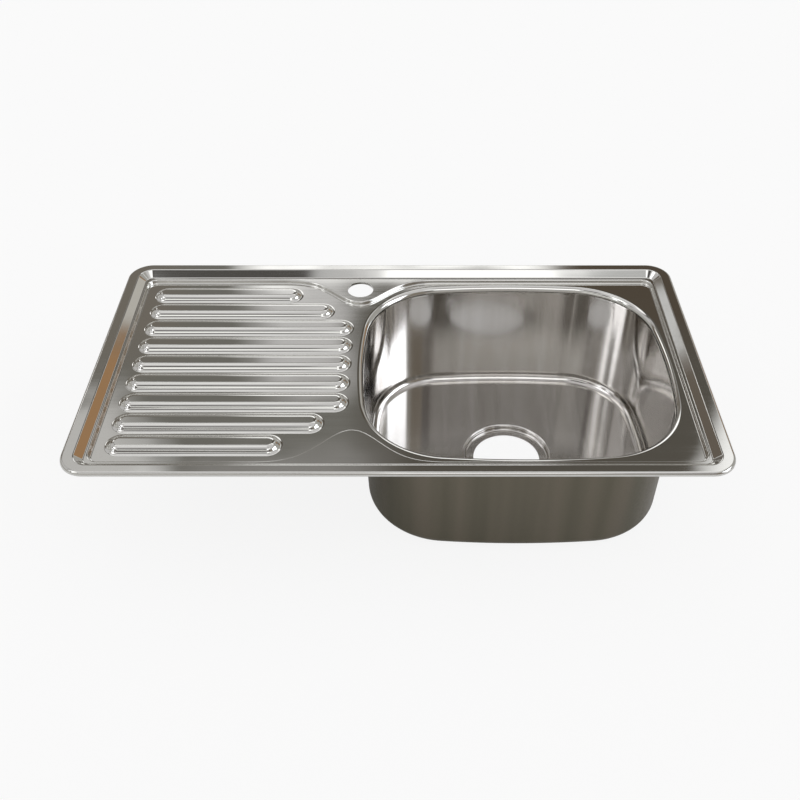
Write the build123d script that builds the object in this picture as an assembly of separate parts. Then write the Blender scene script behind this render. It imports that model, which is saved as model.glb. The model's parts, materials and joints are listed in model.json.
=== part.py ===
from build123d import *
import math
import os

# An inset kitchen sink: one deep bowl on the right, a ribbed drainer on the left, a tap hole at the back.
# The frame has X to the right, Y to the back and Z up. Its origin is the centre of the rim, at the
# level of the worktop that the rim's seal lies on. All sizes are in millimetres and degrees.

# Sheet and rim
sheet = 0.8
sink_length = 750.0
sink_depth = 410.0
rim_corner_radius = 31.0
rim_top = 5.0
rim_roll_radius = 3.5
lip_clearance = 0.5
rim_width_ends = 14.6
rim_width_sides = 13.5

# Sloping wall inside the rim, and the narrow ledge that it ends on
wall_drop = 8.0
wall_run = 9.0
wall_corner_radius = 18.0
wall_upper_radius = 2.6
wall_lower_radius = 2.4
ledge_width_ends = 4.0
ledge_width_sides = 5.5
recess_corner_radius = 12.0

# Step down from the ledge to the low level of the drainer
step_drop = 5.0
step_radius = 2.4

# Landings at the back and the front: each keeps the ledge's level inside a bell-shaped curve
landing_offset = 1.5
landing_spread = 47.0
landing_skirt = 2.2
landing_points = 17

# Drainer ribs
rib_count = 9
rib_gap = 6.8
rib_side_margin = 14.8
rib_height = 6.0
rib_slope = 45.0
rib_upper_radius = 10.0
rib_lower_radius = 7.4
rib_left_margin = 15.4
rib_end_gap_middle = 10.0
rib_end_gap_second = 37.0
rib_end_gap_outer = 82.0

# Tap hole and its stiffening ring
tap_hole_radius = 17.5
tap_ring_width = 7.5
tap_ring_thickness = 2.0
tap_ring_wall_gap = 3.1
tap_ring_edge_gap = 4.4

# Bowl
mouth_half_length = 198.0
mouth_end_gap = 1.0
mouth_side_gap = 1.4
mouth_end_radius = 670.0
mouth_side_radius = 1170.0
mouth_corner_radius = 108.0
mouth_roll_radius = 8.0
collar_depth = 1.0
bowl_depth = 172.0
bowl_draft = 0.7
bowl_floor_radius = 13.0

# Waste recess in the bowl's floor
waste_hole_radius = 45.0
waste_recess_flange = 12.0
waste_recess_depth = 7.0
waste_recess_upper_radius = 3.0
waste_recess_lower_radius = 2.5

# Sound-deadening pads under the bowl's floor
pad_end_margin = 17.0
pad_width = 150.0
pad_thickness = 2.0
pad_corner_radius = 8.0
pad_gap = 10.0

# Seal under the rim
seal_width = 8.0
seal_wall_gap = 1.8

# Fixing clips: a hanger welded under the deck, a folding arm, and a screw that pushes a claw along it
clip_from_left_end = 47.4
clip_from_landing = 41.5
clip_corner_gap = 13.7
clip_bowl_gap = 2.2
hanger_sheet = 1.5
hanger_width = 12.6
hanger_flange = 10.0
hanger_setback = 0.4
hinge_drop = 8.0
ear_radius = 5.0
arm_sheet = 1.2
arm_foot_sheet = 2.0
arm_width = 16.0
arm_height = 10.0
arm_length = 34.0
arm_web_start = 6.0
pin_radius = 2.0
pin_head_radius = 3.5
pin_head_height = 1.2
pin_side_gap = 0.3
pin_tight_clearance = 0.02
running_clearance = 0.05
screw_radius = 2.5
screw_axis_drop = 0.5
screw_neck_radius = 2.0
screw_rivet_radius = 2.8
screw_rivet_height = 0.8
screw_end_gap = 0.2
screw_head_radius = 4.4
screw_head_height = 3.5
screw_head_chamfer = 0.6
screw_slot_width = 1.2
screw_slot_depth = 1.4
claw_travel = 16.0
claw_sheet = 2.5
claw_side_gap = 0.6
claw_wing_sheet = 1.2
claw_wing_length = 4.5
claw_reach = 29.0
claw_foot_gap = 0.5
claw_head_gap = 1.0
claw_tip_length = 5.5
claw_tip_height = 3.0
claw_tooth_height = 1.6
claw_tooth_count = 3

# Drawing allowances: how far a cutter runs past the metal, and how closely an edge is looked for
cutter_excess = 1.0
search_margin = 0.1
level_margin = 0.0001

# Sizes that follow from the ones above
half_length = sink_length / 2
half_depth = sink_depth / 2
wall_angle = math.degrees(math.atan2(wall_drop, wall_run))
wall_half_length = half_length - rim_width_ends
wall_half_depth = half_depth - rim_width_sides
ledge_level = rim_top - wall_drop
low_level = ledge_level - step_drop
recess_half_length = wall_half_length - wall_run - ledge_width_ends
recess_half_depth = wall_half_depth - wall_run - ledge_width_sides
mouth_half_width = recess_half_depth - step_radius - mouth_side_gap
bowl_centre_x = recess_half_length - step_radius - mouth_end_gap - mouth_half_length
mouth_left = bowl_centre_x - mouth_half_length
landing_centre_x = mouth_left - landing_offset
tap_ring_radius = tap_hole_radius + tap_ring_width
tap_hole_y = wall_half_depth - wall_run - tap_ring_wall_gap - tap_ring_radius
landing_reach = recess_half_depth - (tap_hole_y - tap_ring_radius - tap_ring_edge_gap)
weld_level = low_level - mouth_roll_radius - collar_depth
floor_level = rim_top - bowl_depth
waste_recess_radius = waste_hole_radius + waste_recess_flange
rib_left_end = rib_left_margin - recess_half_length
rib_row_width = 2 * (recess_half_depth - rib_side_margin)
rib_width = (rib_row_width - (rib_count - 1) * rib_gap) / rib_count
rib_pitch = rib_width + rib_gap
rib_right_end_middle = mouth_left - rib_end_gap_middle
rib_right_end_second = mouth_left - rib_end_gap_second
rib_right_end_outer = mouth_left - rib_end_gap_outer
bowl_foot_inset = (floor_level - weld_level) * math.tan(math.radians(-bowl_draft))
bowl_flat_half_length = mouth_half_length - mouth_roll_radius - bowl_foot_inset - bowl_floor_radius
pad_start = waste_recess_radius + waste_recess_upper_radius + pad_gap
pad_length = bowl_flat_half_length - pad_end_margin - pad_start
arm_half = arm_width / 2
arm_inside = arm_half - arm_sheet
hanger_half = hanger_width / 2
claw_far_x = arm_length - arm_foot_sheet - claw_foot_gap
claw_near_x = claw_far_x - claw_sheet
claw_half_width = arm_inside - claw_side_gap
claw_top = arm_height / 2 - arm_sheet - claw_side_gap
screw_seat_x = arm_length + claw_head_gap + claw_travel
screw_head_x = screw_seat_x + screw_head_height


def rounded_block(length, depth, radius, low, high):
    """A block with round vertical corners, between two levels."""
    return extrude(Pos(0, 0, low) * RectangleRounded(length, depth, radius), high - low)


def edges_at(solid, level, reach_x, reach_y, centre_x=0.0):
    """The edges that lie at one level, inside a rectangle around centre_x."""
    found = []
    for edge in solid.edges():
        box = edge.bounding_box()
        flat = abs(box.min.Z - level) < level_margin and abs(box.max.Z - level) < level_margin
        near_x = max(box.max.X - centre_x, centre_x - box.min.X) < reach_x
        near_y = max(box.max.Y, -box.min.Y) < reach_y
        if flat and near_x and near_y:
            found.append(edge)
    return found


# Pressed deck ---------------------------------------------------------------------------------------


def landing_bell(x, growth):
    """A point of the landing's edge, moved towards the landing by growth."""
    end = math.exp(-(landing_skirt**2))
    bell = math.exp(-(((x - landing_centre_x) / landing_spread) ** 2))
    rise = landing_reach * (bell - end) / (1 - end)
    slope = -2 * (x - landing_centre_x) / landing_spread**2 * landing_reach * bell / (1 - end)
    length = math.hypot(1, slope)
    return x + growth * slope / length, recess_half_depth - rise + growth / length


def recess_outline(growth):
    """The low level's outline: a rounded rectangle that bends in round both landings."""
    half_x = recess_half_length + growth
    half_y = recess_half_depth + growth
    radius = recess_corner_radius + growth
    span = landing_skirt * landing_spread
    xs = [landing_centre_x + span * (2 * i / (landing_points - 1) - 1) for i in range(landing_points)]
    back = [landing_bell(x, growth) for x in xs]
    back[0] = (xs[0], half_y)
    back[-1] = (xs[-1], half_y)
    front = [(x, -y) for x, y in back]
    level = ((1, 0), (1, 0))
    left_x, right_x = xs[0], xs[-1]
    edges = [
        Line((-half_x + radius, half_y), (left_x, half_y)),
        Spline(*back, tangents=level),
        Line((right_x, half_y), (half_x - radius, half_y)),
        CenterArc((half_x - radius, half_y - radius), radius, 0, 90),
        Line((half_x, half_y - radius), (half_x, -half_y + radius)),
        CenterArc((half_x - radius, -half_y + radius), radius, 270, 90),
        Line((half_x - radius, -half_y), (right_x, -half_y)),
        Spline(*front, tangents=level),
        Line((left_x, -half_y), (-half_x + radius, -half_y)),
        CenterArc((-half_x + radius, -half_y + radius), radius, 180, 90),
        Line((-half_x, -half_y + radius), (-half_x, half_y - radius)),
        CenterArc((-half_x + radius, half_y - radius), radius, 90, 90),
    ]
    return make_face(edges)


def bowl_corner(inset):
    """Centre of the outline's round corner from the bowl's centre, and where its arcs meet in degrees."""
    end_radius = mouth_end_radius - inset
    side_radius = mouth_side_radius - inset
    corner = mouth_corner_radius - inset
    end_x = mouth_half_length - inset - end_radius
    side_y = mouth_half_width - inset - side_radius
    reach_end = end_radius - corner
    reach_side = side_radius - corner
    apart = math.hypot(end_x, side_y)
    along = (reach_end**2 - reach_side**2 + apart**2) / (2 * apart)
    across = math.sqrt(reach_end**2 - along**2)
    corner_x = end_x * (1 - along / apart) - side_y / apart * across
    corner_y = side_y * along / apart - end_x / apart * across
    turn_end = math.degrees(math.atan2(corner_y, corner_x - end_x))
    turn_side = math.degrees(math.atan2(corner_y - side_y, corner_x))
    return corner_x, corner_y, turn_end, turn_side


def bowl_outline(inset):
    """The bowl's outline in plan, inset from the mouth: bulging sides and large round corners."""
    x, y, turn_end, turn_side = bowl_corner(inset)
    end_radius = mouth_end_radius - inset
    side_radius = mouth_side_radius - inset
    corner = mouth_corner_radius - inset
    end_x = mouth_half_length - inset - end_radius
    side_y = mouth_half_width - inset - side_radius
    bend = turn_side - turn_end
    edges = [
        CenterArc((x, y), corner, turn_end, bend),
        CenterArc((-x, y), corner, 180 - turn_side, bend),
        CenterArc((-x, -y), corner, 180 + turn_end, bend),
        CenterArc((x, -y), corner, 360 - turn_side, bend),
        CenterArc((end_x, 0), end_radius, -turn_end, 2 * turn_end),
        CenterArc((-end_x, 0), end_radius, 180 - turn_end, 2 * turn_end),
        CenterArc((0, side_y), side_radius, turn_side, 180 - 2 * turn_side),
        CenterArc((0, -side_y), side_radius, 180 + turn_side, 180 - 2 * turn_side),
    ]
    return Pos(bowl_centre_x, 0, 0) * make_face(edges)


def rib_right_end(index):
    """Where a rib stops on the right: the outer ribs are shorter, to clear the landings."""
    from_outside = min(index, rib_count - 1 - index)
    return {0: rib_right_end_outer, 1: rib_right_end_second}.get(from_outside, rib_right_end_middle)


def rib_face(index, width):
    """A rib's outline in plan: a slot with round ends."""
    right = rib_right_end(index) - (rib_width - width) / 2
    left = rib_left_end + (rib_width - width) / 2
    y = (index - (rib_count - 1) / 2) * rib_pitch
    return Pos((left + right) / 2, y, 0) * SlotOverall(right - left, width)


def deck_die(shift, base):
    """The solid under the deck's upper surface, or with shift under the surface that far below it."""
    top = rim_top - shift
    ledge = ledge_level - shift
    low = low_level - shift
    die = rounded_block(
        sink_length - 2 * shift, sink_depth - 2 * shift, rim_corner_radius - shift, base, top
    )
    die = fillet(die.edges().group_by(Axis.Z)[-1], rim_roll_radius - shift)

    growth = shift * math.tan(math.radians(wall_angle / 2))
    wall_x = wall_half_length + growth
    wall_y = wall_half_depth + growth
    pocket = RectangleRounded(2 * wall_x, 2 * wall_y, wall_corner_radius + growth)
    die -= extrude(Pos(0, 0, top) * pocket, wall_drop, dir=(0, 0, -1), taper=90 - wall_angle)
    wall_edges = edges_at(die, top, wall_x + search_margin, wall_y + search_margin)
    die = fillet(wall_edges, wall_upper_radius - shift)
    die = fillet(edges_at(die, ledge, wall_x, wall_y), wall_lower_radius + shift)

    die -= extrude(Pos(0, 0, low) * recess_outline(shift), step_drop)
    recess_x = recess_half_length + shift + search_margin
    recess_y = recess_half_depth + shift + search_margin
    die = fillet(edges_at(die, ledge, recess_x, recess_y), step_radius - shift)
    die = fillet(edges_at(die, low, recess_x, recess_y), step_radius + shift)

    mouth = bowl_outline(mouth_roll_radius - shift)
    die -= extrude(Pos(0, 0, base) * mouth, low - base)
    roll = edges_at(die, low, mouth_half_length, mouth_half_width, bowl_centre_x)
    die = fillet(roll, mouth_roll_radius - shift)

    narrowing = shift * math.tan(math.radians(rib_slope / 2))
    for index in range(rib_count):
        width = rib_width - 2 * narrowing
        rib = extrude(Pos(0, 0, low) * rib_face(index, width), rib_height, taper=90 - rib_slope)
        rib = fillet(rib.edges().group_by(Axis.Z)[-1], rib_upper_radius - shift)
        die += rib
    bases = [edge for edge in edges_at(die, low, half_length, half_depth) if on_rib_base(edge)]
    return fillet(bases, rib_lower_radius + shift)


def on_rib_base(edge):
    """True for an edge that runs round the foot of a rib."""
    box = edge.bounding_box()
    inside_y = max(box.max.Y, -box.min.Y) < rib_row_width / 2 + search_margin
    inside_left = box.min.X > rib_left_end - search_margin
    return inside_y and inside_left and box.max.X < rib_right_end_middle + search_margin


def make_deck():
    """The deck: one pressed sheet with its lip, wall, ledge, landings, ribs and the rolled mouth."""
    deck = deck_die(0, weld_level) - deck_die(sheet, weld_level - cutter_excess)
    low = weld_level - cutter_excess
    height = lip_clearance - low
    outer = Box(sink_length + cutter_excess, sink_depth + cutter_excess, height)
    inner = Box(2 * wall_half_length, 2 * wall_half_depth, height)
    deck -= Pos(0, 0, low + height / 2) * (outer - inner)
    hole = Cylinder(tap_hole_radius, 2 * (sheet + cutter_excess))
    return deck - Pos(landing_centre_x, tap_hole_y, ledge_level) * hole


# Bowl -----------------------------------------------------------------------------------------------


def bowl_die(shift):
    """The bowl's inside, or with shift the same shape grown by the sheet."""
    face = Pos(0, 0, weld_level) * bowl_outline(mouth_roll_radius - shift)
    floor = floor_level - shift
    die = extrude(face, weld_level - floor, dir=(0, 0, -1), taper=bowl_draft)
    die = fillet(die.edges().group_by(Axis.Z)[0], bowl_floor_radius + shift)
    recess = Cylinder(waste_recess_radius + shift, 2 * waste_recess_depth)
    die += Pos(bowl_centre_x, 0, floor) * recess
    reach = waste_recess_radius + shift + search_margin
    upper = edges_at(die, floor, reach, reach, bowl_centre_x)
    die = fillet(upper, waste_recess_upper_radius - shift)
    lower = edges_at(die, floor - waste_recess_depth, reach, reach, bowl_centre_x)
    return fillet(lower, waste_recess_lower_radius + shift)


def make_bowl():
    """The deep-drawn bowl, welded edge to edge under the deck's mouth."""
    bowl = bowl_die(sheet) - bowl_die(0)
    hole = Cylinder(waste_hole_radius, 2 * (sheet + cutter_excess))
    return bowl - Pos(bowl_centre_x, 0, floor_level - waste_recess_depth) * hole


def make_pad(side):
    """A damping pad glued under the bowl's floor, beside the waste recess."""
    offset = pad_start + pad_length / 2
    face = RectangleRounded(pad_length, pad_width, pad_corner_radius)
    level = floor_level - sheet - pad_thickness
    return extrude(Pos(bowl_centre_x + side * offset, 0, level) * face, pad_thickness)


# Seal and tap ring ----------------------------------------------------------------------------------


def make_seal():
    """The foam seal stuck under the flat of the rim. The worktop's edge carries the sink through it."""
    inner_x = wall_half_length + seal_wall_gap
    inner_y = wall_half_depth + seal_wall_gap
    corner = wall_corner_radius + seal_wall_gap
    top = rim_top - sheet
    outer_x = inner_x + seal_width
    outer_y = inner_y + seal_width
    outer = rounded_block(2 * outer_x, 2 * outer_y, corner + seal_width, 0, top)
    return outer - rounded_block(2 * inner_x, 2 * inner_y, corner, -cutter_excess, top + cutter_excess)


def make_tap_ring():
    """The steel ring welded under the landing, which stiffens the sheet round the tap hole."""
    hole = Cylinder(tap_hole_radius, tap_ring_thickness + 2 * cutter_excess)
    ring = Cylinder(tap_ring_radius, tap_ring_thickness) - hole
    level = ledge_level - sheet - tap_ring_thickness / 2
    return Pos(landing_centre_x, tap_hole_y, level) * ring


# Fixing clips, each drawn with its hinge at the origin and its arm along X, towards the bowl -----------


def across_plate(outline, start, thickness):
    """A plate in the XZ plane, from start along Y."""
    return extrude(Plane.XZ.offset(-start) * outline, thickness, dir=(0, 1, 0))


def make_hanger(rise):
    """The bracket under the deck: a flange with two ears that hold the hinge pin."""
    top = hinge_drop + hanger_sheet + rise
    flange = Box(hanger_flange, hanger_width, hanger_sheet)
    ear_face = make_face(
        [
            Line((0, top), (ear_radius, top)),
            Line((ear_radius, top), (ear_radius, 0)),
            CenterArc((0, 0), ear_radius, 180, 180),
            Line((-ear_radius, 0), (-ear_radius, hinge_drop / 2 + rise)),
            Line((-ear_radius, hinge_drop / 2 + rise), (0, top)),
        ]
    )
    hanger = Pos(hanger_flange / 2, 0, top - hanger_sheet / 2) * flange
    for start in (-hanger_half, hanger_half - hanger_sheet):
        hanger += across_plate(ear_face, start, hanger_sheet)
    hole = pin_radius + pin_tight_clearance
    return hanger - Rot(90, 0, 0) * Cylinder(hole, arm_width)


def make_pin():
    """The rivet that the arm folds on."""
    reach = arm_half + pin_side_gap
    pin = Rot(90, 0, 0) * Cylinder(pin_radius, 2 * reach)
    for side in (-1, 1):
        head = Rot(90, 0, 0) * Cylinder(pin_head_radius, pin_head_height)
        pin += Pos(0, side * (reach + pin_head_height / 2), 0) * head
    return pin


def make_arm():
    """The folding arm: a channel with a tapped foot across its far end."""
    half_height = arm_height / 2
    side_face = make_face(
        [
            Line((0, half_height), (arm_length, half_height)),
            Line((arm_length, half_height), (arm_length, -half_height)),
            Line((arm_length, -half_height), (0, -half_height)),
            CenterArc((0, 0), half_height, 90, 180),
        ]
    )
    web_length = arm_length - arm_web_start
    web_x = arm_web_start + web_length / 2
    arm = Pos(web_x, 0, half_height - arm_sheet / 2) * Box(web_length, arm_width, arm_sheet)
    for start in (-arm_half, arm_inside):
        arm += across_plate(side_face, start, arm_sheet)
    foot = Box(arm_foot_sheet, 2 * arm_inside, arm_height)
    arm += Pos(arm_length - arm_foot_sheet / 2, 0, 0) * foot
    arm -= Rot(90, 0, 0) * Cylinder(pin_radius + running_clearance, 2 * arm_width)
    hole = Rot(0, 90, 0) * Cylinder(screw_radius + running_clearance, 2 * arm_foot_sheet)
    return arm - Pos(arm_length, 0, -screw_axis_drop) * hole


def rod(start, end, radius):
    """A round bar along X."""
    return Pos((start + end) / 2, 0, 0) * (Rot(0, 90, 0) * Cylinder(radius, end - start))


def make_screw():
    """The screw: it is tapped through the arm's foot, and its tip is riveted loosely in the claw."""
    rivet_x = claw_near_x - screw_end_gap
    shank_x = claw_far_x + screw_end_gap
    head = rod(screw_seat_x, screw_head_x, screw_head_radius)
    head = chamfer(head.edges().group_by(Axis.X)[-1], screw_head_chamfer)
    slot = Box(2 * screw_slot_depth, 2 * screw_head_radius, screw_slot_width)
    head -= Pos(screw_head_x, 0, 0) * slot
    screw = rod(rivet_x - screw_rivet_height, rivet_x, screw_rivet_radius)
    screw += rod(rivet_x, shank_x, screw_neck_radius)
    screw += rod(shank_x, screw_seat_x, screw_radius)
    return Pos(0, 0, -screw_axis_drop) * (screw + head)


def make_claw():
    """The claw: a folded plate with two guide wings in the arm and a toothed jaw for the worktop."""
    width = 2 * claw_half_width
    plate_height = claw_top + claw_reach
    plate = Box(claw_sheet, width, plate_height)
    claw = Pos(claw_far_x - claw_sheet / 2, 0, claw_top - plate_height / 2) * plate
    wing_height = claw_top + arm_height / 2
    wing = Box(claw_wing_length, claw_wing_sheet, wing_height)
    wing_x = claw_near_x - claw_wing_length / 2
    wing_y = claw_half_width - claw_wing_sheet / 2
    for side in (-1, 1):
        claw += Pos(wing_x, side * wing_y, claw_top - wing_height / 2) * wing
    tip = Box(claw_tip_length, width, claw_tip_height)
    claw += Pos(claw_far_x - claw_tip_length / 2, 0, claw_tip_height / 2 - claw_reach) * tip
    tooth_x = claw_far_x - claw_tip_length
    pitch = width / claw_tooth_count
    for index in range(claw_tooth_count):
        left = index * pitch - claw_half_width
        point = (tooth_x - claw_tooth_height, left + pitch / 2)
        tooth = make_face(Polyline((tooth_x, left), point, (tooth_x, left + pitch), close=True))
        claw += extrude(Pos(0, 0, -claw_reach) * tooth, claw_tip_height)
    start = claw_near_x - cutter_excess
    hole = rod(start, claw_far_x + cutter_excess, screw_neck_radius + running_clearance)
    return claw - Pos(0, 0, -screw_axis_drop) * hole


def clip_beside_bowl(hinge_x):
    """The Y at which a clip on the right keeps its screw's head clear of the bowl's round corner."""
    inset = mouth_roll_radius - sheet
    corner_x, corner_y, _, _ = bowl_corner(inset)
    from_corner = hinge_x - screw_head_x - bowl_centre_x - corner_x
    outline_y = corner_y + math.sqrt((mouth_corner_radius - inset) ** 2 - from_corner**2)
    return outline_y + screw_head_radius + clip_bowl_gap


def clip_places():
    """Each clip's name, hinge point, turn about Z and how much higher its hanger's seat is."""
    hinge_level = low_level - sheet - hanger_sheet - hinge_drop
    flat_y = recess_half_depth - step_radius - hanger_setback
    flat_x = recess_half_length - step_radius - hanger_setback
    left_x = clip_from_left_end - recess_half_length
    landing_x = landing_centre_x - clip_from_landing
    left_y = flat_y - screw_head_x - arm_half - clip_corner_gap
    right_y = clip_beside_bowl(flat_x)
    return [
        ("front_1", (left_x, -flat_y, hinge_level), 90, 0),
        ("front_2", (landing_x, -flat_y, hinge_level), 90, step_drop),
        ("back_1", (left_x, flat_y, hinge_level), -90, 0),
        ("back_2", (landing_x, flat_y, hinge_level), -90, step_drop),
        ("left_1", (-flat_x, -left_y, hinge_level), 0, 0),
        ("left_2", (-flat_x, left_y, hinge_level), 0, 0),
        ("right_1", (flat_x, -right_y, hinge_level), 180, 0),
        ("right_2", (flat_x, right_y, hinge_level), 180, 0),
    ]


# Files ----------------------------------------------------------------------------------------------

os.makedirs("parts", exist_ok=True)
export_step(make_deck(), "parts/drainer_deck.step")
export_step(make_bowl(), "parts/bowl.step")
export_step(make_pad(-1), "parts/bowl_pad_left.step")
export_step(make_pad(1), "parts/bowl_pad_right.step")
export_step(make_seal(), "parts/rim_seal.step")
export_step(make_tap_ring(), "parts/tap_hole_ring.step")

pins = []
for name, hinge, turn, rise in clip_places():
    place = Pos(*hinge) * Rot(0, 0, turn)
    export_step(place * make_hanger(rise), f"parts/clip_hanger_{name}.step")
    export_step(place * make_arm(), f"parts/clip_arm_{name}.step")
    export_step(place * make_screw(), f"parts/clip_screw_{name}.step")
    export_step(place * make_claw(), f"parts/clip_claw_{name}.step")
    pins.append(place * make_pin())
    print(name, "hinge", tuple(round(v, 3) for v in hinge), "turn", turn)
export_step(Compound(children=pins), "parts/clip_pins.step")
print("bowl centre", bowl_centre_x, "half width", mouth_half_width, "left edge", mouth_left)
print("ribs", round(rib_width, 3), "wide, pitch", round(rib_pitch, 3), "pads", round(pad_length, 2), "long")
print("tap hole", landing_centre_x, round(tap_hole_y, 3), "floor", floor_level, "weld", weld_level)
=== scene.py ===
import json
import math

import bmesh
import bpy
import numpy as np
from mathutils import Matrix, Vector


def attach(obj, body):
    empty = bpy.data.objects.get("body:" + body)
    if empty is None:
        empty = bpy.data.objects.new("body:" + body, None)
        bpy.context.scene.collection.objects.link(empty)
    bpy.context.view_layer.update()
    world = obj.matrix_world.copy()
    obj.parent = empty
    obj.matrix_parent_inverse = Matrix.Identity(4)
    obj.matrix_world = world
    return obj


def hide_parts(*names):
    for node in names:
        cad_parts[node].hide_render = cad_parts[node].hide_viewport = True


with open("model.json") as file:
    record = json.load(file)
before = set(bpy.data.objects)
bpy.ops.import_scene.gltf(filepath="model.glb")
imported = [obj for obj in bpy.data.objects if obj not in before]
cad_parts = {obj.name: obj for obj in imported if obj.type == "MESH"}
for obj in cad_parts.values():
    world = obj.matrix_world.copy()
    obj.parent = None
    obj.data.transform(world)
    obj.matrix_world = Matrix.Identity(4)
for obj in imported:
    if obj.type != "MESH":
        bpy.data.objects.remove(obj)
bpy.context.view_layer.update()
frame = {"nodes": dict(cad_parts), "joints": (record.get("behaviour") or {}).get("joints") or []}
MM = 0.001


# The photograph's viewpoint ---------------------------------------------------------------------------
# A camera in front of the sink's middle, looking down at about forty degrees, with a slightly long lens.

viewpoint = bpy.data.cameras.new("viewpoint")
viewpoint.sensor_fit = "HORIZONTAL"
viewpoint.sensor_width = 36.0
viewpoint.lens = 43.17
viewpoint.shift_x = -0.0084
viewpoint.shift_y = 0.0050
viewpoint.clip_start = 0.05
viewpoint.clip_end = 50.0
camera = bpy.data.objects.new("viewpoint", viewpoint)
camera.location = (0.0098, -0.9338, 0.7525)
camera.rotation_euler = (math.radians(48.43), 0.0, 0.0)
bpy.context.scene.collection.objects.link(camera)
bpy.context.scene.camera = camera
bpy.context.scene.view_settings.view_transform = "Standard"


# Pressed deck -----------------------------------------------------------------------------------------
# One sheet of stainless steel, 0.8 mm, drawn over a die: a rolled lip, a flat rim, a sloping wall, a narrow
# ledge that widens to a landing at the back and the front, a step, nine ribs, and the rolled mouth.

SHEET = 0.8
RIM_TOP = 5.0
LIP_END = 0.5
RIM_HALF = (375.0, 205.0)
RIM_CORNER = 31.0
RIM_ROLL = 3.5
WALL_HALF = (360.4, 191.5)
WALL_CORNER = 18.0
WALL_RUN, WALL_DROP = 9.0, 8.0
WALL_BENDS = (2.6, 2.4)
LEDGE = RIM_TOP - WALL_DROP
STEP_DROP, STEP_BEND = 5.0, 2.4
LOW = LEDGE - STEP_DROP
RECESS_HALF = (347.4, 177.0)
RECESS_CORNER = 12.0
LANDING_X, LANDING_REACH, LANDING_SPREAD, LANDING_SKIRT = -53.5, 52.0, 47.0, 2.2
RIB_COUNT, RIB_PITCH, RIB_WIDTH, RIB_HEIGHT = 9, 36.8, 30.0, 6.0
RIB_LEFT = -332.0
RIB_RIGHT = (-62.0, -89.0, -134.0)
RIB_BENDS, RIB_SLOPE = (7.4, 10.0), 45
TAP_HOLE = (-53.5, 154.4, 17.5)
BOWL_X = 146.0
MOUTH_HALF = (198.0, 173.2)
MOUTH_RADII = (670.0, 1170.0, 108.0)
MOUTH_ROLL, MOUTH_NECK = 8.0, 1.0
WELD = LOW - MOUTH_ROLL - MOUTH_NECK
ALMOST_NOUGHT = 1e-9
SAME_SPOT = 1e-4


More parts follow.
